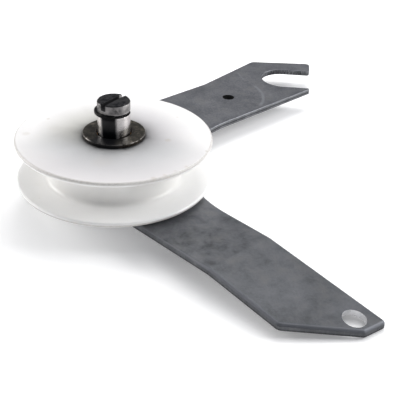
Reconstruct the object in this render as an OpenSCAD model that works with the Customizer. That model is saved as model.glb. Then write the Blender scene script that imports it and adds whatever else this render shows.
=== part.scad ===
// Belt tensioner idler: a stamped two-armed lever carries a grooved nylon wheel on a fixed
// stud. A loose washer lies under the wheel and another on top of it. A crescent ring near
// the top of the stud keeps them on. The stud is clamped to the lever by a lock washer and a
// thin nut below.
//
// Frame: millimetres, +Z up along the stud. The origin is on the stud's axis at mid-width
// of the wheel's belt groove. +X points between the two arms, which leave the stud at
// 45 degrees either side of it. The forked arm goes to +Y, the spring arm to -Y.

/* [Wheel] */
// Outside diameter of the wheel's flanges
wheel_od = 76.2; // [60:0.1:90]
// Width of the wheel across both flanges
wheel_w = 18.5; // [14:0.1:26]
// Diameter at the bottom of the belt groove
groove_root_d = 52.4; // [40:0.1:64]
// Thickness of each flange at its rim
flange_t = 1.9; // [1.2:0.1:4]
// Extra flange thickness where it meets the groove's bottom
flange_root_extra = 0.35; // [0:0.05:1.5]
// Radius on the flanges' rim corners
rim_corner_r = 0.75; // [0.2:0.05:0.9]
// Radius in the corners at the bottom of the groove
root_fillet_r = 1.6; // [0.3:0.1:3]

/* [Hub bushing] */
// Outside diameter of the bronze bushing, pressed into the wheel
bushing_od = 16; // [14.5:0.1:20]
// Running clearance of the bushing on the stud, on the radius
bushing_play = 0.05; // [0.01:0.01:0.1]

/* [Stud] */
// Diameter of the polished rod that the wheel turns on
stud_d = 12.7; // [9:0.05:16]
// Height of the stud's end above the lever's upper face
stud_h = 35; // [28:0.1:45]
// Chamfer round the stud's free end
stud_chamfer = 0.5; // [0.1:0.05:1.5]
// Width of the screwdriver slot
driver_slot_w = 1.8; // [1:0.1:3]
// Depth of the screwdriver slot
driver_slot_deep = 1.7; // [0.8:0.1:3]
// Direction of the screwdriver slot from +X
driver_slot_turn = 57; // [0:1:179]
// Distance from the stud's end to the middle of the ring groove
ring_groove_drop = 4.55; // [2.5:0.05:8]
// Width of the ring groove
ring_groove_w = 1.15; // [0.8:0.05:2]
// Depth of the ring groove on the radius
ring_groove_deep = 0.95; // [0.4:0.05:1.6]
// Diameter of the tail that goes through the lever and the nut
tail_d = 7.94; // [5:0.01:10]
// Length of tail that shows below the nut
tail_out = 0.75; // [0:0.05:4]

/* [Retaining ring] */
// Thickness of the crescent ring
ring_t = 1.05; // [0.7:0.05:1.6]
// Outside diameter of the crescent ring
ring_od = 14.8; // [13.5:0.1:18]
// How far the ring's outside is set over, away from its mouth
ring_offset = 0.1; // [0:0.05:0.8]
// Angle of the ring's open mouth
ring_mouth = 124; // [90:1:160]
// Direction that the ring's mouth faces, from +X
ring_turn = -18; // [-180:1:180]

/* [Washers] */
// Outside diameter of the washers above and below the wheel
washer_od = 24.4; // [18:0.1:32]
// Bore of the washers
washer_bore = 13.7; // [12.9:0.1:16]
// Thickness of the washers
washer_t = 1.59; // [0.8:0.01:3]
// Bevel on the washers' outer edge
washer_bevel = 0.3; // [0.05:0.05:0.6]

/* [Lever] */
// Thickness of the steel sheet
sheet_t = 2.66; // [1.5:0.01:4]
// Offset of the forked arm's outer edge from the stud, square to the arm
fork_arm_outer = 47.4; // [40:0.1:60]
// Offset of the forked arm's inner edge from the stud, square to the arm
fork_arm_inner = 10; // [8:0.1:20]
// Width of the spring arm on its +X side of the stud
spring_arm_right = 17; // [14:0.1:22]
// Width of the spring arm on its other side of the stud
spring_arm_left = 14.2; // [12:0.1:20]
// Radius of the inside curve between the two arms
inner_r = 56; // [40:0.5:70]
// Radius of the outside curve behind the stud
outer_r = 50; // [40:0.5:60]
// Diameter of the locating hole in the forked arm
small_hole_d = 5.6; // [3:0.1:8]
// Distance of the locating hole from the stud along X
small_hole_x = 45.8; // [36:0.1:52]
// Distance of the locating hole from the stud along Y
small_hole_y = 86.4; // [80:0.1:92]

/* [Fork] */
// Width of the open slot
fork_w = 22.4; // [14:0.1:26]
// Distance of the slot's round centre from the stud along X
fork_x = 74.2; // [68:0.1:80]
// Distance of the slot's round centre from the stud along Y
fork_y = 113.7; // [108:0.1:120]
// Direction that the slot opens, from +X
fork_turn = -3; // [-8:0.5:8]
// Place along X where the forked arm's outer edge bends and widens
outer_bend_x = 34; // [26:0.5:42]
// Place along X of the head's blunt outer corner
head_corner_x = 58.6; // [54:0.1:64]
// Height of the head's outer edge along Y, at that corner
head_corner_y = 134.2; // [130:0.1:138]
// Radius on that corner
head_corner_r = 3.5; // [1:0.1:8]
// How much further along Y the head's outer edge lies at its tip
head_rise = 0.5; // [0:0.1:2]
// Reach of the outer tip along X
outer_tip_x = 89.3; // [84:0.1:94]
// Reach of the inner tip along X
inner_tip_x = 86.4; // [82:0.1:92]
// Radius on the outer tip's outside corner
tip_corner_r = 2.2; // [0.5:0.1:4]
// Radius on the outer tip's corner beside the slot
slot_corner_r = 1.6; // [0.5:0.1:3]
// Radius on the point of the inner tip
inner_nose_r = 1; // [0.5:0.1:1.2]

/* [Spring arm end] */
// Distance from the stud to the fold across the spring arm
fold_s = 68.2; // [60:0.1:80]
// Angle that the end is folded down
fold_angle = 7.5; // [2:0.5:15]
// Inside radius of the fold
fold_r = 10; // [3:0.5:20]
// Length of the folded end from the fold to the tip
end_len = 53.3; // [45:0.1:60]
// Length along the arm of the slanting cut across the corner
end_cut_along = 20.7; // [10:0.1:26]
// Width across the arm of the same cut
end_cut_across = 21.1; // [10:0.1:26]
// How much the tip's short edge leans back at the slanting cut
end_lean = 1.4; // [0:0.1:3]
// Diameter of the spring hole
spring_hole_d = 8.3; // [5:0.1:11]
// Distance of the spring hole from the fold
spring_hole_s = 45.8; // [38:0.1:48]
// Offset of the spring hole from the arm's centre line through the stud
spring_hole_w = 8.8; // [4:0.1:11]
// Radius on the corners of the end
end_corner_r = 1.4; // [0.3:0.1:3]

/* [Nut and lock washer] */
// Hexagon size of the thin nut across its flats
nut_af = 12.7; // [10:0.1:16]
// Thickness of the nut
nut_t = 4.76; // [3:0.01:8]
// Outside diameter of the lock washer
lock_od = 14.8; // [12:0.1:18]
// Thickness of the lock washer
lock_t = 1.98; // [1:0.01:3]
// Width of the gap in the lock washer
lock_gap = 1.2; // [0.5:0.1:2]

/* [Hidden] */
$fn = 96;
film = 0.05;                      // oil film under each loose piece
wheel_r = wheel_od / 2;
root_r = groove_root_d / 2;
stud_r = stud_d / 2;
tail_r = tail_d / 2;
bushing_r = bushing_od / 2;
// Heights along the stud
wheel_z = -wheel_w / 2;           // under side of the wheel
low_washer_z = wheel_z - film - washer_t;
arm_z = low_washer_z - film;      // upper face of the lever
arm_low_z = arm_z - sheet_t;
top_washer_z = wheel_w / 2 + film;
stud_top_z = arm_z + stud_h;
ring_z = stud_top_z - ring_groove_drop;
lock_z = arm_low_z - lock_t;
nut_z = lock_z - nut_t;
tail_z = nut_z - tail_out;
eps = 0.5;                        // how far cutters run past a face
proud = 0.002;                    // how far a rounding runs past its sides, to cross them cleanly
root_half = sqrt(0.5);

// Flat outline of the lever, in X and Y. Lines along the forked arm: y - x is constant.
// Lines along the spring arm: x + y is constant.
fork_out_c = fork_arm_outer / root_half;
fork_in_c = fork_arm_inner / root_half;
right_c = spring_arm_right / root_half;
left_c = -spring_arm_left / root_half;
// Round outside corner behind the stud
out_y = (fork_out_c + left_c) / 2;
out_x = (left_c - fork_out_c) / 2 + outer_r / root_half;
out_t = outer_r * root_half;
// Round inside corner between the arms
in_y = (fork_in_c + right_c) / 2;
in_x = (right_c - fork_in_c) / 2 + inner_r / root_half;
in_t = inner_r * root_half;
// Corners of the fork end, going round from the bend in its outer edge
bend_pt = [outer_bend_x, outer_bend_x + fork_out_c];
head_corner = [head_corner_x, head_corner_y];
outer_tip = [outer_tip_x, head_corner_y + head_rise];
inner_tip = [inner_tip_x, inner_tip_x + fork_in_c];
// Where the slot's two sides come out: through the outer tip's end, and at the inner edge
slot_way = [cos(fork_turn), sin(fork_turn)];
slot_side = fork_w / 2 * [-sin(fork_turn), cos(fork_turn)];
slot_top_out = meet([fork_x, fork_y] + slot_side, slot_way, inner_tip, outer_tip - inner_tip);
slot_low_out = meet([fork_x, fork_y] - slot_side, slot_way, inner_tip, [1, 1]);
// The spring arm's end in plan: lengths past the fold are foreshortened by its tilt
tip_s = fold_s + end_len * cos(fold_angle);
cut_s = fold_s + (end_len - end_cut_along) * cos(fold_angle);

// Unit vector from p to q
function way(p, q) = (q - p) / norm(q - p);
// Distance from a corner to where a rounding of radius r touches its sides
function reach(a, b, c, r) =
    let (half = acos(way(b, a) * way(b, c)) / 2) r / tan(half);
function touch_in(a, b, c, r) = b + way(b, a) * reach(a, b, c, r);
function touch_out(a, b, c, r) = b + way(b, c) * reach(a, b, c, r);
function mid_pt(a, b, c, r) =
    let (half = acos(way(b, a) * way(b, c)) / 2)
    b + way([0, 0], way(b, a) + way(b, c)) * r / sin(half);

// A plate of height h with straight sides and rounded outward corners
module rounded_plate(pts, radii, h) {
    n = len(pts);
    linear_extrude(h) polygon([for (i = [0 : n - 1])
        let (a = pts[(i + n - 1) % n], b = pts[i], c = pts[(i + 1) % n], r = radii[i])
        for (p = r == 0 ? [b] : [touch_in(a, b, c, r), touch_out(a, b, c, r)]) p]);
    for (i = [0 : n - 1])
        if (radii[i] > 0)
            translate(mid_pt(pts[(i + n - 1) % n], pts[i], pts[(i + 1) % n], radii[i]))
                cylinder(r = radii[i] + proud, h = h);
}

// What is cut off the outward corner b, between its neighbours a and c, to round it
module corner_cutter(a, b, c, r, h) {
    m = mid_pt(a, b, c, r);
    translate([0, 0, -eps]) difference() {
        linear_extrude(h + 2 * eps)
            polygon([for (p = [m, touch_in(a, b, c, r), b, touch_out(a, b, c, r)])
                m + 1.5 * (p - m)]);
        translate([m.x, m.y, -eps]) cylinder(r = r + proud, h = h + 4 * eps);
    }
}

// A turned collar: bore r1, outside r2, from z = 0 to h, with chamfers c1 inside and c2 outside
module collar(r1, r2, h, c1, c2) {
    rotate_extrude()
        polygon([[r1 + c1, 0], [r2 - c2, 0], [r2, c2], [r2, h - c2], [r2 - c2, h],
                 [r1 + c1, h], [r1, h - c1], [r1, c1]]);
}

// Where the line from p along u meets the line from q along w
function meet(p, u, q, w) =
    let (d = q - p) p + u * (d.x * w.y - d.y * w.x) / (u.x * w.y - u.y * w.x);

// Point at distance s from the stud along the spring arm and w across it, in X and Y
function on_spring_arm(s, w) = root_half * [s + w, w - s];

// The whole lever's outline seen from above, as a column of height h
module lever_column(h) {
    back_up = [out_x - out_t, out_y + out_t];
    back_down = [out_x - out_t, out_y - out_t];
    front_up = [in_x - in_t, in_y + in_t];
    front_down = [in_x - in_t, in_y - in_t];
    inside = [in_x - in_t - 10, in_y];
    difference() {
        union() {
            linear_extrude(h)
                polygon([back_up, back_down, front_down, front_up, bend_pt]);
            // rounded back, behind the stud
            intersection() {
                translate([out_x, out_y]) cylinder(r = outer_r + proud, h = h);
                translate([out_x - 2 * outer_r, out_y - outer_r])
                    cube([2 * outer_r - out_t + 3, 2 * outer_r, h]);
            }
            // fork head
            rounded_plate([inside, front_up, inner_tip, outer_tip, head_corner, bend_pt],
                          [0, 0, 0, tip_corner_r, head_corner_r, 0], h);
            // spring arm
            rounded_plate([inside, back_down, on_spring_arm(cut_s, -spring_arm_left),
                           on_spring_arm(tip_s - end_lean, end_cut_across - spring_arm_left),
                           on_spring_arm(tip_s, spring_arm_right), front_down],
                          [0, 0, 2 * end_corner_r, end_corner_r, end_corner_r, 0], h);
        }
        // inside curve between the two arms
        translate([in_x, in_y, -eps]) cylinder(r = inner_r + proud, h = h + 2 * eps);
        // open slot of the fork
        translate([fork_x, fork_y, -eps]) cylinder(d = fork_w, h = h + 2 * eps);
        translate([fork_x, fork_y, -eps]) rotate(fork_turn)
            translate([0, proud - fork_w / 2]) cube([40, fork_w - 2 * proud, h + 2 * eps]);
        // rounded corners where the slot comes out
        corner_cutter(slot_top_out - 10 * slot_way, slot_top_out, outer_tip, slot_corner_r, h);
        corner_cutter(slot_low_out - 10 * slot_way, slot_low_out, front_up, inner_nose_r, h);
    }
}

// All that lies under the folded sheet's upper face, or drop below that face, w wide
module under_face(drop, w) {
    corner = [fold_s - drop * tan(fold_angle / 2), arm_z - drop];
    far = 180 + drop;
    translate([0, w / 2, 0]) rotate([90, 0, 0])
        rounded_plate([[-far, -far], [-far, corner[1]], corner,
                       corner + far * [cos(fold_angle), -sin(fold_angle)], [far, -far]],
                      [0, 0, fold_r + sheet_t - drop, 0, 0], w);
}

// Stamped steel lever with a fork at one end and a folded-down spring end at the other
module lever() color("slategray") difference() {
    intersection() {
        translate([0, 0, arm_z - 40]) lever_column(60);
        rotate(-45) difference() {
            under_face(0, 400);
            under_face(sheet_t, 410);
        }
    }
    translate([0, 0, arm_low_z - eps]) cylinder(r = tail_r + 0.04, h = sheet_t + 2 * eps);
    translate([small_hole_x, small_hole_y, arm_low_z - eps])
        cylinder(d = small_hole_d, h = sheet_t + 2 * eps);
    rotate(-45) translate([fold_s, 0, arm_z]) rotate([0, fold_angle, 0])
        translate([spring_hole_s, spring_hole_w, -sheet_t - eps])
            cylinder(d = spring_hole_d, h = sheet_t + 2 * eps);
}

// Turned steel stud: rod, ring groove, screwdriver slot, shoulder and tail
module stud() color("silver") difference() {
    union() {
        translate([0, 0, arm_z]) cylinder(r = stud_r, h = ring_z - ring_groove_w / 2 - arm_z);
        translate([0, 0, ring_z - ring_groove_w / 2 - eps])
            cylinder(r = stud_r - ring_groove_deep, h = ring_groove_w + 2 * eps);
        translate([0, 0, ring_z + ring_groove_w / 2])
            cylinder(r = stud_r, h = stud_top_z - stud_chamfer - ring_z - ring_groove_w / 2);
        translate([0, 0, stud_top_z - stud_chamfer])
            cylinder(r1 = stud_r, r2 = stud_r - stud_chamfer, h = stud_chamfer);
        translate([0, 0, tail_z + 0.6]) cylinder(r = tail_r, h = arm_z - tail_z - 0.6 + eps);
        translate([0, 0, tail_z]) cylinder(r1 = tail_r - 0.6, r2 = tail_r, h = 0.6);
    }
    rotate(driver_slot_turn)
        translate([-stud_d, -driver_slot_w / 2, stud_top_z - driver_slot_deep])
            cube([2 * stud_d, driver_slot_w, driver_slot_deep + eps]);
}

// Crescent ring, thickest opposite its mouth, pushed on from the side
module retaining_ring() color("dimgray")
    rotate(ring_turn) translate([0, 0, ring_z - ring_t / 2]) difference() {
        translate([-ring_offset, 0, 0]) cylinder(d = ring_od, h = ring_t);
        translate([0, 0, -eps])
            cylinder(r = stud_r - ring_groove_deep + 0.03, h = ring_t + 2 * eps);
        translate([0, 0, -eps]) linear_extrude(ring_t + 2 * eps)
            polygon([[0, 0], 20 * [cos(ring_mouth / 2), -sin(ring_mouth / 2)],
                     20 * [cos(ring_mouth / 2), sin(ring_mouth / 2)]]);
    }

module loose_washer() collar(washer_bore / 2, washer_od / 2, washer_t, 0.2, washer_bevel);

module lower_washer() color("darkslategray") translate([0, 0, low_washer_z]) loose_washer();

module upper_washer() color("darkslategray") translate([0, 0, top_washer_z]) loose_washer();

// Half section of the wheel's lower flange, from the rim to the groove's bottom
module flange_section() {
    c = rim_corner_r;
    polygon([[bushing_r + 1, 0], [wheel_r - c, 0], [wheel_r - c, flange_t],
             [root_r, flange_t + flange_root_extra], [bushing_r + 1, flange_t + 1]]);
    translate([wheel_r - c - 0.01, c]) square([c + 0.01, flange_t - 2 * c]);
    for (z = [c, flange_t - c]) translate([wheel_r - c, z]) circle(c);
    // soft corner at the bottom of the groove
    difference() {
        translate([root_r - 0.01, flange_t]) square([root_fillet_r, root_fillet_r + 0.3]);
        translate([root_r + root_fillet_r, flange_t + flange_root_extra + root_fillet_r])
            circle(root_fillet_r);
    }
}

module wheel() color("white") translate([0, 0, wheel_z]) rotate_extrude() {
    translate([bushing_r, 0]) square([root_r - bushing_r, wheel_w]);
    flange_section();
    translate([0, wheel_w]) mirror([0, 1]) flange_section();
}

module hub_bushing() color("peru") translate([0, 0, wheel_z])
    collar(stud_r + bushing_play, bushing_r, wheel_w, 0.4, 0.3);

// Split spring washer, flattened by the nut
module lock_washer() color("gray") translate([0, 0, lock_z]) difference() {
    collar(tail_r + 0.15, lock_od / 2, lock_t, 0.15, 0.25);
    rotate(205) translate([0, -lock_gap / 2, -eps]) cube([lock_od, lock_gap, lock_t + 2 * eps]);
}

// Thin hexagon nut with both ends chamfered
module nut() color("gray") translate([0, 0, nut_z]) difference() {
    intersection() {
        rotate(12) cylinder(d = nut_af / cos(30), h = nut_t, $fn = 6);
        collar(0.5, nut_af / 2 / cos(30) - 0.05, nut_t, 0, 0.6);
    }
    translate([0, 0, -eps]) cylinder(r = tail_r + 0.02, h = nut_t + 2 * eps);
}

lever();
stud();
retaining_ring();
lock_washer();
nut();
lower_washer();
upper_washer();
wheel();
hub_bushing();
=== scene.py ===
import math

import bpy
from mathutils import Matrix, Vector


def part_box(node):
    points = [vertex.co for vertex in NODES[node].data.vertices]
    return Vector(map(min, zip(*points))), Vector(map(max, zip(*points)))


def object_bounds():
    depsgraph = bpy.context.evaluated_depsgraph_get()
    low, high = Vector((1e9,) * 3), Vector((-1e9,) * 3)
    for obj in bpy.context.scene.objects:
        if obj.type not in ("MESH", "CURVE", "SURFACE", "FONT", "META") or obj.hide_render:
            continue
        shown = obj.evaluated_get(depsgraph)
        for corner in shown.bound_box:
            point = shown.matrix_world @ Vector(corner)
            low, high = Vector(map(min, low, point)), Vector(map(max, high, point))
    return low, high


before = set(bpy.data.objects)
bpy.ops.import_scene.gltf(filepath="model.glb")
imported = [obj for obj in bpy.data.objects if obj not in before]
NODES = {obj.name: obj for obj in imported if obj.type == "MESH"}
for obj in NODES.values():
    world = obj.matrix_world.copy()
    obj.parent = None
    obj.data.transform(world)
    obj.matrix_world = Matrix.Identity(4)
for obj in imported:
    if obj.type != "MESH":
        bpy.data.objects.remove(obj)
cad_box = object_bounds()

MM = 0.001

# Heights and radii of the parts, in millimetres, read from the frame
ARM_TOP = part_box("lever")[1].z / MM
STUD_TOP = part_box("stud")[1].z / MM
STUD_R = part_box("stud")[1].x / MM
NUT_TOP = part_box("nut")[1].z / MM
RING_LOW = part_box("retaining_ring")[0].z / MM
WASHER_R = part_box("upper_washer")[1].x / MM
WASHER_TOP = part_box("upper_washer")[1].z / MM
WHEEL_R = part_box("wheel")[1].x / MM
WHEEL_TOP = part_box("wheel")[1].z / MM

# Radius of the belt groove's floor
GROOVE_R = 26.2

# The fold across the spring arm: its distance from the stud and its angle in degrees
FOLD_AT = 68.2
FOLD_DEG = 7.5

# The fork's slot: the middle of its round end, half its width and its turn in degrees
FORK = (74.2, 113.7)
FORK_HALF = 11.2
FORK_DEG = -3.0

# The lever's two holes, each as x, y and radius
SPRING_HOLE = (86.43, -73.99, 4.15)
LOCATING_HOLE = (45.8, 86.4, 2.8)

# The arc that another lever rubbed on the fork's head, as x, y and radius
RUB_ARC = (36.0, 88.0, 26.8)

# Turn of the screwdriver slot in the stud's end, in degrees
SLOT_DEG = 57.0

# Height of one turn of the thread on the stud's tail
THREAD_PITCH = 1.06

# Turn of the stud's front, in degrees, where a black band is painted down the stud and on the
# washer's front: a painted dark reflection
DARK_REFLECTION_DEG = -104.0

# How far the oil and its painted shade reach out from the washer's rim, and how they thin out on
# the way:
# the share of that distance and the grey that they leave
SOAK_AND_SHADE_REACH = 24.0
SOAK_AND_SHADE_GREYS = [
    (0.0, 0.10), (0.05, 0.30), (0.11, 0.42), (0.20, 0.54), (0.30, 0.63),
    (0.42, 0.71), (0.56, 0.79), (0.75, 0.89), (1.0, 1.0),
]

# Specks on the wheel's upper face: turn in degrees, distance from the axis, size, strength
SPECKS = [
    (-7, 21.1, 1.9, 0.34), (157, 29.9, 1.1, 0.30), (184, 33.7, 2.2, 0.22),
    (-62, 37.2, 1.5, 0.34), (-55, 37.0, 1.1, 0.28), (-39, 37.0, 1.1, 0.30),
    (-16, 37.3, 0.9, 0.42), (-47, 36.6, 0.8, 0.22), (-95, 22.5, 5.5, 0.10),
    (172, 24.0, 4.0, 0.08), (38, 30.0, 0.9, 0.22), (112, 27.0, 1.2, 0.20),
]

# A colour that leaves what it multiplies as it was
UNCHANGED = (1.0, 1.0, 1.0)

# Edges that turn by more than this are sharp
SHARP = math.radians(30)


# ---------------------------------------------------------------- how finishes are built

class Val:
    """A socket in a node tree. Arithmetic on it adds Math nodes."""

    def __init__(self, nodes, socket):
        self.nodes = nodes
        self.socket = socket

    def math(self, operation, *others):
        return self.nodes.node("ShaderNodeMath", {"operation": operation},
                               dict(enumerate((self, *others))))

    def flipped(self, operation, other):
        return self.nodes.node("ShaderNodeMath", {"operation": operation},
                               {0: other, 1: self})

    def __add__(self, other):
        return self.math("ADD", other)

    def __sub__(self, other):
        return self.math("SUBTRACT", other)

    def __mul__(self, other):
        return self.math("MULTIPLY", other)

    def __truediv__(self, other):
        return self.math("DIVIDE", other)

    def __pow__(self, other):
        return self.math("POWER", other)

    def __radd__(self, other):
        return self.flipped("ADD", other)

    def __rsub__(self, other):
        return self.flipped("SUBTRACT", other)

    def __rmul__(self, other):
        return self.flipped("MULTIPLY", other)

    def __rtruediv__(self, other):
        return self.flipped("DIVIDE", other)

    def __abs__(self):
        return self.math("ABSOLUTE")


class Nodes:
    """A node tree that is being built."""

    def __init__(self, tree):
        self.tree = tree

    def node(self, kind, settings=None, inputs=None, out=0):
        """Adds one node: its settings first, then values or links for its sockets."""
        made = self.tree.nodes.new(kind)
        for key, value in (settings or {}).items():
            if key == "stops":
                self.set_stops(made.color_ramp, value)
            else:
                setattr(made, key, value)
        for key, value in (inputs or {}).items():
            if isinstance(value, Val):
                self.tree.links.new(value.socket, made.inputs[key])
            else:
                made.inputs[key].default_value = value
        return Val(self, made.outputs[out])

    @staticmethod
    def set_stops(ramp, stops):
        while len(ramp.elements) < len(stops):
            ramp.elements.new(1.0)
        for element, (at, shade) in zip(ramp.elements, stops):
            element.position = at
            element.color = (*shade, 1.0)

    def parts(self, vector):
        split = self.node("ShaderNodeSeparateXYZ", inputs={0: vector}).socket.node
        return [Val(self, socket) for socket in split.outputs]

    def scaled(self, vector):
        """A place in metres as one in millimetres."""
        return self.node("ShaderNodeVectorMath", {"operation": "SCALE"},
                         {0: vector, "Scale": 1 / MM})


class Finish(Nodes):
    """A material in the making, with the part's own millimetres to place marks by."""

    def __init__(self, name, **fixed):
        self.material = bpy.data.materials.new(name)
        self.material.use_nodes = True
        super().__init__(self.material.node_tree)
        self.shader = self.tree.nodes["Principled BSDF"]
        for label, value in fixed.items():
            self.shader.inputs[label.replace("_", " ")].default_value = value
        self.place = self.scaled(self.node("ShaderNodeTexCoord", out="Object"))
        self.x, self.y, self.z = self.parts(self.place)

    def normal(self):
        """The surface's direction on the part itself, as x, y and z."""
        return self.parts(self.node("ShaderNodeTexCoord", out="Normal"))

    def point(self, x, y, z):
        return self.node("ShaderNodeCombineXYZ", inputs={0: x, 1: y, 2: z})

    def radius(self):
        """Distance from the stud's axis."""
        return (self.x * self.x + self.y * self.y) ** 0.5

    def turn(self):
        """Angle round the stud's axis, in degrees from +X."""
        return self.y.math("ARCTAN2", self.x) * (180 / math.pi)

    def grain(self, size, detail=3.0, rough=0.55, warp=0.0, place=None):
        """Even-handed noise from 0 to 1 whose lumps are about size millimetres."""
        return self.node("ShaderNodeTexNoise", {"noise_dimensions": "3D"},
                         {"Vector": place or self.place, "Scale": 1 / size,
                          "Detail": detail, "Roughness": rough, "Distortion": warp})

    def cells(self, size):
        """Distance to the nearest of many scattered points, about size millimetres apart."""
        return self.node("ShaderNodeTexVoronoi", {"feature": "F1"},
                         {"Vector": self.place, "Scale": 1 / size})

    def step(self, value, low, high):
        """0 at low and 1 at high, turning smoothly between them."""
        return self.node("ShaderNodeMapRange", {"interpolation_type": "SMOOTHSTEP"},
                         {"Value": value, "From Min": low, "From Max": high})

    def spot(self, x, y, z, size):
        """1 in the middle of a spot, fading out to 0 at size millimetres from it."""
        gap = self.node("ShaderNodeVectorMath", {"operation": "DISTANCE"},
                        {0: self.place, 1: (x, y, z)}, out="Value")
        return self.step(gap, size, size * 0.2)

    def in_hole(self, hole, reach, full):
        """1 in a hole and up to full millimetres from its wall, fading out to 0 at reach."""
        radius = hole[2]
        return self.step(from_axis(self.x, self.y, hole), radius + reach, radius + full)

    def mix(self, factor, a, b):
        """A colour from a to b."""
        return self.node("ShaderNodeMix", {"data_type": "RGBA"},
                         {0: factor, 6: colour(a), 7: colour(b)}, out=2)

    def times(self, a, b):
        """Two colours multiplied."""
        return self.node("ShaderNodeMix", {"data_type": "RGBA", "blend_type": "MULTIPLY"},
                         {0: 1.0, 6: colour(a), 7: colour(b)}, out=2)

    def shades(self, factor, *stops):
        """A colour from a ramp of (place, colour) stops."""
        return self.node("ShaderNodeValToRGB", {"stops": stops}, {0: factor})

    def bump(self, height, deep, under=None):
        """A surface raised by height times deep, in millimetres, on top of another one."""
        inputs = {"Height": height, "Distance": deep * MM, "Strength": 1.0}
        if under:
            inputs["Normal"] = under
        return self.node("ShaderNodeBump", inputs=inputs)

    def set(self, label, value):
        self.tree.links.new(value.socket, self.shader.inputs[label])


def colour(value):
    return value if isinstance(value, Val) else (*value, 1.0)


def most(a, b):
    return a.math("MAXIMUM", b)


def least(a, b):
    return a.math("MINIMUM", b)


def from_axis(x, y, round_one):
    """Distance in plan from the middle of a hole or an arc, given as x, y and radius."""
    middle_x, middle_y, _ = round_one
    return ((x - middle_x) ** 2.0 + (y - middle_y) ** 2.0) ** 0.5


def along_spring_arm(x, y):
    """Distance from the stud along the spring arm, less than 0 on the forked arm."""
    return (x - y) * math.sqrt(0.5)


def sheet_depth(x, y, z):
    """Millimetres below the folded sheet's upper face."""
    past_fold = most(along_spring_arm(x, y) - FOLD_AT, 0.0)
    return ARM_TOP - past_fold * math.tan(math.radians(FOLD_DEG)) - z


# ---------------------------------------------------------------- the lever's finish

def crept_oil(f, along, across):
    """Oil that crept out from under the wheel over the start of the spring arm."""
    smudges = f.grain(4.2, 2, 0.5, 0.1)
    return (f.step(along, 80, 60) * f.step(along, 34, 46) * f.step(smudges, 0.38, 0.74)
            * f.step(across, 12, 0))


def rolled_skin(f, along, on_spring_arm, blots, fine, oily):
    """Colour of the sheet's faces: wide clouds, thumb-sized blots, fine grain and oil, with
    painted light on the spring arm next to the wheel and painted shade past the fold.
    """
    clouds = f.grain(26, 3, 0.5, 0.6)
    painted_light_by_wheel = f.step(f.radius(), WHEEL_R + 14, WHEEL_R - 3) * on_spring_arm
    folded = f.step(along, 62, 74)
    # painted light lifts the spring arm next to the wheel, where the wheel's shadow falls; painted
    # shade darkens the sheet past the fold
    tone = (0.67 - on_spring_arm * 0.19 - folded * 0.10 + (clouds - 0.5) * 0.7
            + (blots - 0.5) * (0.9 + on_spring_arm * (1 - folded) * 0.5)
            + (fine - 0.5) * (1.1 - on_spring_arm * 0.7) - oily * 0.24 + painted_light_by_wheel * 0.60)
    skin = f.shades(tone, (0.0, (0.036, 0.038, 0.041)), (0.35, (0.083, 0.087, 0.095)),
                    (0.6, (0.115, 0.119, 0.131)), (1.0, (0.190, 0.195, 0.208)))
    return f.mix(f.step(blots, 0.45, 0.8) * 0.45, skin, (0.105, 0.102, 0.094))


def rub_marks(f, along, across, blots):
    """How far the sheet is rubbed bright: an arc where another lever swept, one short tick
    and fine hairs. The hairs come alone as well, since they are cut into the surface."""
    off_arc = from_axis(f.x, f.y, RUB_ARC) - RUB_ARC[2]
    arc = (f.step(abs(off_arc + (blots - 0.5) * 1.2), 1.1, 0.3)
           * f.step(f.x, 55, 59) * f.step(f.y, 106, 100) * f.step(f.y, 76, 81))
    off_tick = abs(f.x - 52.8 + (f.y - 112) * 0.32)
    tick = f.step(off_tick, 0.6, 0.2) * f.step(f.y, 107, 110) * f.step(f.y, 120, 116)
    stretched = f.grain(2.2, 1, 0.3, 0, f.point(along * 0.12, across * 1.4, f.z))
    hairs = f.step(stretched, 0.71, 0.77) * f.step(blots, 0.5, 0.58)
    return (arc * 0.50 + tick * 0.30 + hairs * 0.20) * (0.4 + blots), hairs


def in_fork_slot(f):
    """1 on the walls of the fork's slot and 0 on all others."""
    turn = math.radians(FORK_DEG)
    out = (f.x - FORK[0]) * math.cos(turn) + (f.y - FORK[1]) * math.sin(turn)
    beside = (f.y - FORK[1]) * math.cos(turn) - (f.x - FORK[0]) * math.sin(turn)
    return f.step(abs(beside), FORK_HALF + 1.2, FORK_HALF + 0.5) * f.step(out, -13, -12)


def sheared_wall(f, depth, on_spring_arm, streak):
    """Colour of the sheared walls, and where the shears tore them: torn upright streaks in
    the fork's slot, a dark crease along the other walls."""
    in_fork = in_fork_slot(f)
    broad = f.grain(6, 2, 0.5, 0, f.point(f.x, f.y, f.z * 0.1))
    crease = f.step(abs(depth - 1.45 + (broad - 0.5) * 0.5), 0.40, 0.12) * (1 - in_fork)
    crease = most(crease * (1 - on_spring_arm), f.step(depth, 1.5, 2.7) * on_spring_arm)
    torn = f.step(depth + (streak - 0.5) * 0.9, 0.8, 1.15)
    lift = (streak - 0.5) * (0.40 + in_fork * 1.3) + (broad - 0.5) * (0.35 + in_fork * 0.75)
    # painted shade: the fork slot's walls are darkened by in_fork * 0.06
    tone = 0.50 - on_spring_arm * 0.08 + lift - in_fork * (0.06 + torn * 0.12) - crease * 0.34
    skin = f.shades(tone, (0.05, (0.025, 0.025, 0.028)), (0.45, (0.120, 0.124, 0.132)),
                    (0.75, (0.27, 0.275, 0.29)), (1.0, (0.50, 0.50, 0.52)))
    return skin, torn


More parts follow.
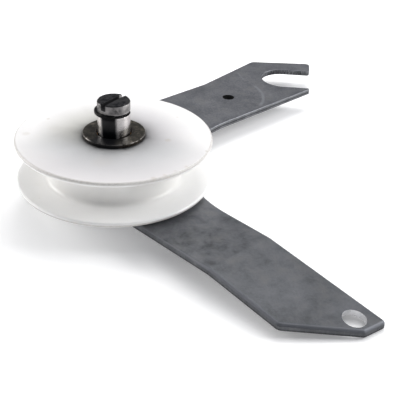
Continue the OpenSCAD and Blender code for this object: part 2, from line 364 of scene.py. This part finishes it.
def sheet_steel():
    """Mid-grey rolled sheet with oily smudges, rolled top edges and sheared walls."""
    f = Finish("oiled_sheet_steel", Specular_IOR_Level=0.3)
    along = along_spring_arm(f.x, f.y)
    across = (f.x + f.y) * math.sqrt(0.5)
    depth = sheet_depth(f.x, f.y, f.z)
    on_spring_arm = f.step(along, 10, 22)
    blots = f.grain(6, 4, 0.62, 0.25)
    fine = f.grain(0.75, 3, 0.7)
    streak = f.grain(0.7, 4, 0.75, 0, f.point(f.x, f.y, f.z * 0.25))

    # where the surface is a wall, a rolled top edge or flat
    _, _, up = f.normal()
    level = abs(up)
    wall = f.step(level, 0.55, 0.2)
    rolled = f.step(level, 0.985, 0.88) * (1 - wall) * f.step(depth, 1.4, 1.0)

    # the faces: skin, rub marks on the flats only, and dark pin specks
    oily = crept_oil(f, along, across)
    skin = rolled_skin(f, along, on_spring_arm, blots, fine, oily)
    rubs, hairs = rub_marks(f, along, across, blots)
    skin = f.mix(rubs * f.step(level, 0.9, 0.99), skin, (0.24, 0.25, 0.27))
    pins = f.step(f.cells(4.0), 0.09, 0.05) * f.step(f.grain(15), 0.46, 0.54)
    skin = f.mix(pins * 0.5, skin, (0.040, 0.037, 0.034))

    # the walls: the spring hole's wall is painted near white, painted light, and the locating
    # hole's is painted black, painted shade
    wall_skin, torn = sheared_wall(f, depth, on_spring_arm, streak)
    spring_hole_painted_light = f.in_hole(SPRING_HOLE, 0.8, 0.1)
    locating_hole_painted_shade = f.in_hole(LOCATING_HOLE, 0.8, 0.0)
    wall_skin = f.mix(spring_hole_painted_light * 0.9, wall_skin, (0.80, 0.80, 0.81))

    base = f.mix(wall, skin, wall_skin)
    # the rolled top edges are painted lighter: a painted highlight
    base = f.mix(rolled * (0.25 + on_spring_arm * 0.15), base, (0.27, 0.28, 0.31))
    # painted shade: black inside the locating hole
    base = f.mix(locating_hole_painted_shade * (1 - f.step(level, 0.8, 0.95)), base, (0.004, 0.004, 0.004))
    f.set("Base Color", base)
    f.set("Metallic", 0.55 + rolled * 0.3 + wall * 0.15 - pins * 0.4 - locating_hole_painted_shade * wall * 0.5)
    f.set("Roughness", 0.50 + (blots - 0.5) * 0.2 + (fine - 0.5) * 0.12 - oily * 0.12
          - rolled * (0.12 - on_spring_arm * 0.22) + torn * wall * 0.12 - spring_hole_painted_light * wall * 0.2)
    skin_bump = f.bump(fine + f.grain(1.6, 2) * 0.7, 0.012)
    f.set("Normal", f.bump(streak * wall + hairs * -0.15 * (1 - wall), 0.05, skin_bump))
    return f.material


# ---------------------------------------------------------------- the stud's finish

def front_dark_reflection(f, turn, cloud):
    """A black band painted down the stud's front from the ring to the washer, wider at its foot: a
    painted dark reflection, a little blacker at its foot and, as painted shade, right under the
    ring.
    """
    foot = f.step(f.z, RING_LOW - 2.5, WASHER_TOP + 1)
    shade_under_ring = f.step(f.z, RING_LOW - 1.8, RING_LOW - 0.4)
    from_painted_band = abs(turn - DARK_REFLECTION_DEG - foot * 2 + (cloud - 0.5) * 8)
    painted_band = f.step(from_painted_band, 36 + foot * 5, 21) * f.step(f.z, RING_LOW + 1.4, RING_LOW)
    return painted_band * (0.96 + most(foot, shade_under_ring) * 0.04)


def slot_shade(f):
    """Painted shade in the screwdriver slot."""
    way = math.radians(SLOT_DEG)
    beside = abs(f.y * math.cos(way) - f.x * math.sin(way))
    far_end = f.x * math.cos(way) + f.y * math.sin(way)
    dirt = f.step(beside, 1.4, 1.0) * f.step(far_end, 5.4, 4.2)
    return dirt * f.step(f.z, STUD_TOP - 3.0, STUD_TOP - 2.4)


def ring_groove_shade(f, end_face):
    """Painted shade in the ring's groove."""
    dirt = f.step(f.radius(), STUD_R - 0.3, STUD_R - 0.6) * (1 - end_face)
    return dirt * f.step(f.z, STUD_TOP - 2.0, STUD_TOP - 3.0)


def collar_darkening(f, end_face, cloud):
    """Darkens the collar above the ring, most of all on its left."""
    collar = f.step(f.z, RING_LOW + 1.0, RING_LOW + 1.4) * (1 - end_face)
    return collar * (0.62 + f.step(f.x, 2, -6) * 0.14 + (cloud - 0.5) * 1.3)


def stud_steel():
    """Ground bright steel, fine rings round it, with a black band painted down the front and a
    black end face: painted dark reflections.
    """
    f = Finish("ground_stud_steel", Specular_IOR_Level=0.08)
    _, _, up = f.normal()
    end_face = f.step(up, 0.4, 0.65)
    turn = f.turn()
    rings = f.grain(0.35, 2, 0.6, 0, f.point(f.x * 0.05, f.y * 0.05, f.z))
    cloud = f.grain(3.2, 3, 0.6, 0.4)
    spots = f.grain(0.7, 3, 0.65)

    # painted dark reflection: the end face near black; with it the front band, and painted shade
    # in the slot and the ring's groove
    painted_dark_end = end_face * (0.97 + (cloud - 0.5) * 0.15)
    black = most(most(front_dark_reflection(f, turn, cloud), ring_groove_shade(f, end_face)), painted_dark_end)
    black = most(most(black, slot_shade(f) * 0.97), collar_darkening(f, end_face, cloud))
    black = least(most(black + (spots - 0.5) * 0.22 * (1 - black), 0.0), 1.0)

    bright = f.shades(cloud * 0.6 + rings * 0.4, (0.25, (0.50, 0.475, 0.465)),
                      (0.6, (0.76, 0.73, 0.72)), (0.8, (0.88, 0.86, 0.86)))
    f.set("Base Color", f.mix(black, bright, (0.003, 0.0035, 0.005)))
    f.set("Metallic", 1 - black * 0.95)
    f.set("Roughness", 0.22 + (rings - 0.5) * 0.10 + (spots - 0.5) * 0.12 - end_face * 0.10)
    # rolled thread on the tail below the nut, and grinding rings above
    tail = f.step(f.z, NUT_TOP, NUT_TOP - 0.2)
    thread = ((f.z / THREAD_PITCH + turn / 360) * (2 * math.pi)).math("SINE")
    grind = f.bump((rings * 0.4 + spots * 0.15) * (1 - end_face * 0.8), 0.012)
    f.set("Normal", f.bump(thread * tail, 0.22, grind))
    return f.material


# ---------------------------------------------------------------- finishes of the small parts

def ring_steel():
    """Black oxide spring steel with bright rubbed corners."""
    f = Finish("blackened_ring_steel", Specular_IOR_Level=0.1)
    _, _, up = f.normal()
    edge = f.step(abs(up), 0.12, 0.45) * f.step(abs(up), 0.97, 0.6)
    cloud = f.grain(2.0, 3, 0.6)
    fine = f.grain(0.4, 2, 0.6)
    rubbed = edge * f.step(cloud, 0.5, 0.65)
    black = f.mix(cloud, (0.003, 0.003, 0.0035), (0.010, 0.0095, 0.0095))
    f.set("Base Color", f.mix(rubbed, black, (0.05, 0.048, 0.046)))
    f.set("Metallic", 0.35 + rubbed * 0.4)
    f.set("Roughness", 0.36 + (fine - 0.5) * 0.25)
    f.set("Normal", f.bump(fine, 0.012))
    return f.material


def washer_steel(name, painted_front):
    """Dark olive-grey oily washer, mottled, its bevel rubbed bright. Where its last argument is 1
    its front is painted black in line with the stud's band: a painted dark reflection."""
    f = Finish(name, Specular_IOR_Level=0.2)
    _, _, up = f.normal()
    level = abs(up)
    bevel = f.step(level, 0.25, 0.5) * f.step(level, 0.98, 0.9)
    rim = f.step(level, 0.5, 0.2) * f.step(f.radius(), WASHER_R - 1, WASHER_R - 0.3)
    cloud = f.grain(3.4, 4, 0.62, 0.5)
    fleck = f.grain(1.0, 3, 0.65)
    swirl = f.grain(0.5, 2, 0.6, 0, f.point(f.radius(), f.z, 0.0))
    tone = 0.50 + (cloud - 0.5) * 1.3 + (fleck - 0.5) * 1.2 + (swirl - 0.5) * 0.25
    skin = f.shades(tone, (0.05, (0.003, 0.003, 0.002)), (0.45, (0.024, 0.022, 0.017)),
                    (0.75, (0.078, 0.070, 0.056)), (1.0, (0.20, 0.18, 0.15)))
    # painted dark reflection on the washer's front, in line with the stud's band
    from_painted_band = abs(f.turn() - (DARK_REFLECTION_DEG + 1) + (cloud - 0.5) * 16)
    painted_band = f.step(from_painted_band, 44, 18) * painted_front
    rubbed = bevel * f.step(cloud + (fleck - 0.5) * 0.6, 0.42, 0.60)
    base = f.mix(rubbed * 0.50, skin, (0.34, 0.32, 0.31))
    base = f.mix(rim * 0.7, base, (0.030, 0.022, 0.018))
    black = painted_band * (1 - rubbed * 0.2)
    f.set("Base Color", f.mix(black, base, (0.005, 0.005, 0.006)))
    f.set("Metallic", 0.7 - black * 0.6)
    f.set("Roughness", 0.42 + (fleck - 0.5) * 0.35 - rubbed * 0.10)
    f.set("Normal", f.bump(fleck + cloud * 0.8, 0.03))
    return f.material


def zinc_plate():
    """Zinc plate on the lock washer and the nut: bright, spangled, faintly straw and blue."""
    f = Finish("zinc_plate", Specular_IOR_Level=0.4)
    cloud = f.grain(3.0, 3, 0.6, 0.4)
    tint = f.grain(5.5, 2, 0.5, 0.8)
    fine = f.grain(0.35, 2, 0.6)
    dirt = f.step(f.grain(1.8, 4, 0.7), 0.58, 0.70)
    plate = f.shades(cloud, (0.3, (0.36, 0.36, 0.37)), (0.55, (0.52, 0.52, 0.53)),
                     (0.75, (0.64, 0.64, 0.65)))
    plate = f.mix(f.step(tint, 0.5, 0.65) * 0.45, plate, (0.50, 0.44, 0.30))
    f.set("Base Color", f.mix(dirt * 0.8, plate, (0.05, 0.045, 0.04)))
    f.set("Metallic", 1 - dirt * 0.6)
    f.set("Roughness", 0.30 + (fine - 0.5) * 0.2 + dirt * 0.3)
    f.set("Normal", f.bump(fine + cloud, 0.02))
    return f.material


def bearing_bronze():
    """Oil-soaked sintered bronze: small dark pores in a warm skin."""
    f = Finish("sintered_bronze", Specular_IOR_Level=0.4)
    pores = f.step(f.cells(0.5), 0.30, 0.16)
    cloud = f.grain(2.5, 3, 0.6)
    skin = f.shades(cloud, (0.3, (0.26, 0.145, 0.055)), (0.6, (0.42, 0.25, 0.10)),
                    (0.8, (0.52, 0.33, 0.15)))
    _, _, up = f.normal()
    # painted shade: the end faces, seen only through the gap round the stud, are darkened
    end_shade = f.step(abs(up), 0.7, 0.95) * f.step(cloud, 0.75, 0.35)
    skin = f.mix(end_shade * 0.85, skin, (0.035, 0.024, 0.012))
    f.set("Base Color", f.mix(pores, skin, (0.05, 0.032, 0.015)))
    f.set("Metallic", 0.9 - pores * 0.6 - end_shade * 0.2)
    f.set("Roughness", 0.34 + pores * 0.3 + (cloud - 0.5) * 0.15)
    f.set("Normal", f.bump(pores * -1.0, 0.04))
    return f.material


# ---------------------------------------------------------------- the wheel's finish

def oil_and_shade_round_washer(f, r, cloud):
    """Colour of the oil soaked in round the washer, with painted shade and a painted reflection of
    the washer
    in it, to multiply the white by: black at the washer's rim, thinning out over half the face and
    reaching farthest over the front. With it comes where the face is still wet, close to the
    washer."""
    front = f.step(f.y, 2, -14)
    right = f.step(f.x, -4, 10)
    out = ((r - WASHER_R) + (cloud - 0.5) * 2.6) * (1 - front * 0.30) * (1.24 - right * 0.04)
    stain_and_shade = f.shades(out / SOAK_AND_SHADE_REACH, *[(at, (grey,) * 3) for at, grey in SOAK_AND_SHADE_GREYS])
    tint = f.mix(right, (1.0, 1.0, 0.955), (0.985, 0.975, 1.0))
    tint = f.mix(front, tint, (0.965, 0.985, 1.0))
    tint = f.mix(f.step(out, SOAK_AND_SHADE_REACH, 4.0), UNCHANGED, tint)
    return f.times(stain_and_shade, tint), f.step(out, 5.0, 0.0)


def dull_white(f, r, cloud, fine, outer):
    """The nylon's own white, a little uneven. The upper face is painted a little greyer, most of
    all at the front, as painted shade, and a grey-brown line runs round the rims."""
    white = f.mix(f.grain(22, 2, 0.5), (0.905, 0.90, 0.885), (0.935, 0.93, 0.92))
    white = f.mix(f.step(cloud, 0.56, 0.72) * 0.18, white, (0.84, 0.83, 0.79))
    on_top = outer * f.step(f.z, -1, 1)
    # painted shade: the upper face greyer towards the front
    front_shade = f.mix(f.step(f.y, -4, -30), (0.935, 0.93, 0.935), (0.79, 0.775, 0.79))
    white = f.mix(on_top, white, f.times(white, front_shade))
    rim = f.step(r, WHEEL_R - 0.9, WHEEL_R - 0.35)
    rim = rim * f.step(abs(f.z), WHEEL_TOP - 1.3, WHEEL_TOP - 0.7)
    return f.mix(rim * (0.35 + fine * 0.5), white, (0.47, 0.44, 0.41))


def face_marks(f, fine):
    """Crumbs of dirt all over, and the warm specks on the upper face."""
    marks = f.step(f.cells(4.6), 0.075, 0.03) * f.step(f.grain(9), 0.52, 0.62) * 0.35
    for turn, reach, size, strength in SPECKS:
        way = math.radians(turn)
        speck = f.spot(reach * math.cos(way), reach * math.sin(way), WHEEL_TOP, size)
        marks = most(marks, speck * strength)
    return marks * (0.45 + fine * 0.9)


def wheel_nylon():
    """Natural white nylon: soft gloss, oil soaked in round the washer with painted shade, painted
    shade on the front of the upper face and on the groove's floor, specks, a grey-brown line round
    the rims.
    """
    f = Finish("natural_nylon", Specular_IOR_Level=0.45, Subsurface_Weight=0.12,
               Subsurface_Scale=0.003, Subsurface_Radius=(1.0, 0.95, 0.9))
    _, _, up = f.normal()
    r = f.radius()
    cloud = f.grain(6.5, 3, 0.55, 0.5)
    fine = f.grain(0.8, 3, 0.6)

    # the outer faces of the two flanges take the oil and its painted shade, the faces in the
    # groove stay clear of it
    outer = f.step(abs(up), 0.9, 0.99) * f.step(abs(f.z), WHEEL_TOP - 0.8, WHEEL_TOP - 0.3)
    oil_and_shade, wet = oil_and_shade_round_washer(f, r, cloud)
    white = dull_white(f, r, cloud, fine, outer)
    base = f.times(white, f.mix(outer, UNCHANGED, oil_and_shade))
    marks = face_marks(f, fine)
    base = f.mix(marks, base, (0.46, 0.40, 0.31))

    # the groove's floor is rubbed smooth by the belt, and painted slightly greyer: painted shade
    root = f.step(r, GROOVE_R + 1.8, GROOVE_R + 0.2)
    root = root * f.step(abs(f.z), WHEEL_TOP - 0.75, WHEEL_TOP - 2.25)
    base = f.mix(root * 0.22, base, (0.70, 0.68, 0.62))
    f.set("Base Color", base)
    f.set("Roughness", 0.42 + (cloud - 0.5) * 0.14 - root * 0.12 + marks * 0.2 - wet * 0.1)
    turned = f.grain(0.5, 2, 0.5, 0, f.point(r, f.z, 0.0))
    f.set("Normal", f.bump(fine * 0.5 + turned * 0.35 - marks * 1.2, 0.018))
    return f.material


# ---------------------------------------------------------------- parts

def dress(name, material):
    """Puts a finish on one of the frame's parts."""
    part = NODES[name]
    part.data.materials.clear()
    part.data.materials.append(material)
    return part


def roll_weights(low):
    """Geometry nodes that weigh the sheet's sharp edges for the bevel: 1 on top of the spring
    arm, less on top of the forked arm and round the holes, and low on the lower side."""
    tree = bpy.data.node_groups.new("roll_weights", "GeometryNodeTree")
    for side in ("INPUT", "OUTPUT"):
        tree.interface.new_socket("Geometry", in_out=side, socket_type="NodeSocketGeometry")
    n = Nodes(tree)
    whole = n.node("NodeGroupInput")
    x, y, z = n.parts(n.scaled(n.node("GeometryNodeInputPosition")))
    upper = sheet_depth(x, y, z).math("LESS_THAN", 0.5)
    forked = (x - y).math("LESS_THAN", 30.0)
    weight = 1 - forked * 0.79
    for hole, share in ((SPRING_HOLE, 0.14), (LOCATING_HOLE, 0.10)):
        rim = from_axis(x, y, hole).math("LESS_THAN", hole[2] + 0.5)
        weight = weight * (1 - rim) + rim * share
    sharp = n.node("GeometryNodeInputMeshEdgeAngle").math("GREATER_THAN", SHARP)
    stored = n.node("GeometryNodeStoreNamedAttribute", {"data_type": "FLOAT", "domain": "EDGE"},
                    {"Geometry": whole, "Name": "bevel_weight_edge",
                     "Value": sharp * (low + upper * (weight - low))})
    tree.links.new(stored.socket, tree.nodes.new("NodeGroupOutput").inputs[0])
    return tree


def ease_edges(part, width, segments, low=None):
    """Rounds every sharp edge of a part by width millimetres. low is the share of it that
    the lower edges of the sheet get."""
    weld = part.modifiers.new("weld", "WELD")
    weld.merge_threshold = 0.001 * MM
    clean = part.modifiers.new("flats", "DECIMATE")
    clean.decimate_type = "DISSOLVE"
    clean.angle_limit = math.radians(0.3)
    if low:
        part.modifiers.new("weights", "NODES").node_group = roll_weights(low)
    bevel = part.modifiers.new("edges", "BEVEL")
    bevel.width = width * MM
    bevel.segments = segments
    bevel.limit_method = "WEIGHT" if low else "ANGLE"
    bevel.angle_limit = SHARP
    bevel.use_clamp_overlap = not low
    bevel.miter_outer = "MITER_ARC"
    shade = part.modifiers.new("shading", "WEIGHTED_NORMAL")
    shade.keep_sharp = False
    shade.weight = 60


def finish_parts():
    ease_edges(dress("lever", sheet_steel()), width=1.35, segments=6, low=0.18)
    ease_edges(dress("stud", stud_steel()), width=0.10, segments=2)
    ease_edges(dress("retaining_ring", ring_steel()), width=0.16, segments=3)
    ease_edges(dress("upper_washer", washer_steel("oily_washer", 1.0)), width=0.08, segments=2)
    ease_edges(dress("lower_washer", washer_steel("hidden_washer", 0.0)), width=0.08, segments=2)
    plate = zinc_plate()
    ease_edges(dress("lock_washer", plate), width=0.12, segments=2)
    ease_edges(dress("nut", plate), width=0.15, segments=3)
    ease_edges(dress("hub_bushing", bearing_bronze()), width=0.06, segments=2)
    dress("wheel", wheel_nylon())


# ---------------------------------------------------------------- floor, light, camera

def pale_floor():
    """Matt white board, with the faintest unevenness. It is clear from below, so that the
    object's underside can be looked at."""
    f = Finish("pale_board", Specular_IOR_Level=0.2, Emission_Color=(1.0, 1.0, 1.0, 1.0),
               Emission_Strength=0.22)
    f.set("Base Color", f.mix(f.grain(160, 3, 0.5), (0.88, 0.88, 0.885), (0.91, 0.91, 0.912)))
    f.set("Roughness", 0.75 + (f.grain(3, 3) - 0.5) * 0.1)
    from_below = f.node("ShaderNodeNewGeometry", out="Backfacing")
    board = Val(f, f.shader.outputs[0])
    clear = f.node("ShaderNodeBsdfTransparent")
    seen = f.node("ShaderNodeMixShader", inputs={0: from_below, 1: board, 2: clear})
    f.tree.links.new(seen.socket, f.tree.nodes["Material Output"].inputs["Surface"])
    return f.material


def lay_floor(low, reach=6.0, sides=64):
    """A round pale floor at the object's lowest point."""
    corners = [(reach * math.cos(2 * math.pi * i / sides),
                reach * math.sin(2 * math.pi * i / sides), low) for i in range(sides)]
    mesh = bpy.data.meshes.new("floor")
    mesh.from_pydata(corners, [], [list(range(sides))])
    floor = bpy.data.objects.new("floor", mesh)
    bpy.context.scene.collection.objects.link(floor)
    floor.data.materials.append(pale_floor())


def softbox(name, at, aim, size, watts, tint=(1.0, 1.0, 1.0)):
    """A square soft light at one point, turned to another, all in metres."""
    lamp = bpy.data.lights.new(name, "AREA")
    lamp.shape = "SQUARE"
    lamp.size = size
    lamp.energy = watts
    lamp.color = tint
    holder = bpy.data.objects.new(name, lamp)
    bpy.context.scene.collection.objects.link(holder)
    holder.location = at
    holder.rotation_mode = "QUATERNION"
    holder.rotation_quaternion = (Vector(aim) - Vector(at)).to_track_quat("-Z", "Y")


def light_studio():
    """A dim cool room with four soft lights, all aimed just to the right of the stud."""
    world = bpy.data.worlds.new("studio")
    bpy.context.scene.world = world
    world.use_nodes = True
    background = world.node_tree.nodes["Background"]
    background.inputs["Color"].default_value = (0.88, 0.91, 1.0, 1)
    background.inputs["Strength"].default_value = 0.20
    aim = (0.02, 0.0, 0.0)
    softbox("right_box", (0.84, 0.12, 0.48), aim, size=0.55, watts=7.0)
    softbox("back_box", (0.10, 0.42, 0.74), aim, size=0.50, watts=3.2, tint=(1.0, 0.99, 0.98))
    softbox("left_box", (-0.80, 0.22, 0.30), aim, size=0.50, watts=5.2, tint=(1.0, 0.99, 0.97))
    softbox("top_box", (0.0, 0.12, 1.10), aim, size=0.90, watts=3.0)


def place_camera(aim, distance, turn, elevation, roll, lens):
    """A camera that looks at aim from a distance, turned round Z, raised and rolled in degrees."""
    turn, rise, roll = (math.radians(a) for a in (turn, elevation, roll))
    back = Vector((math.sin(turn) * math.cos(rise), -math.cos(turn) * math.cos(rise),
                   math.sin(rise)))
    level = Vector((math.cos(turn), math.sin(turn), 0.0))
    over = back.cross(level)
    right = math.cos(roll) * level + math.sin(roll) * over
    up = -math.sin(roll) * level + math.cos(roll) * over
    camera = bpy.data.objects.new("camera", bpy.data.cameras.new("camera"))
    bpy.context.scene.collection.objects.link(camera)
    camera.data.sensor_width = 36
    camera.data.lens = lens
    camera.data.clip_start, camera.data.clip_end = 0.01, 50
    axes = Matrix((right, up, back)).transposed()
    camera.matrix_world = Matrix.Translation(Vector(aim) + back * distance) @ axes.to_4x4()
    bpy.context.scene.camera = camera


finish_parts()
lay_floor(cad_box[0].z)
light_studio()
place_camera(aim=(0.034244, -0.012474, ARM_TOP * MM), distance=0.3319, turn=0,
             elevation=30.647, roll=2.487, lens=77.4)
bpy.context.scene.view_settings.view_transform = "Standard"
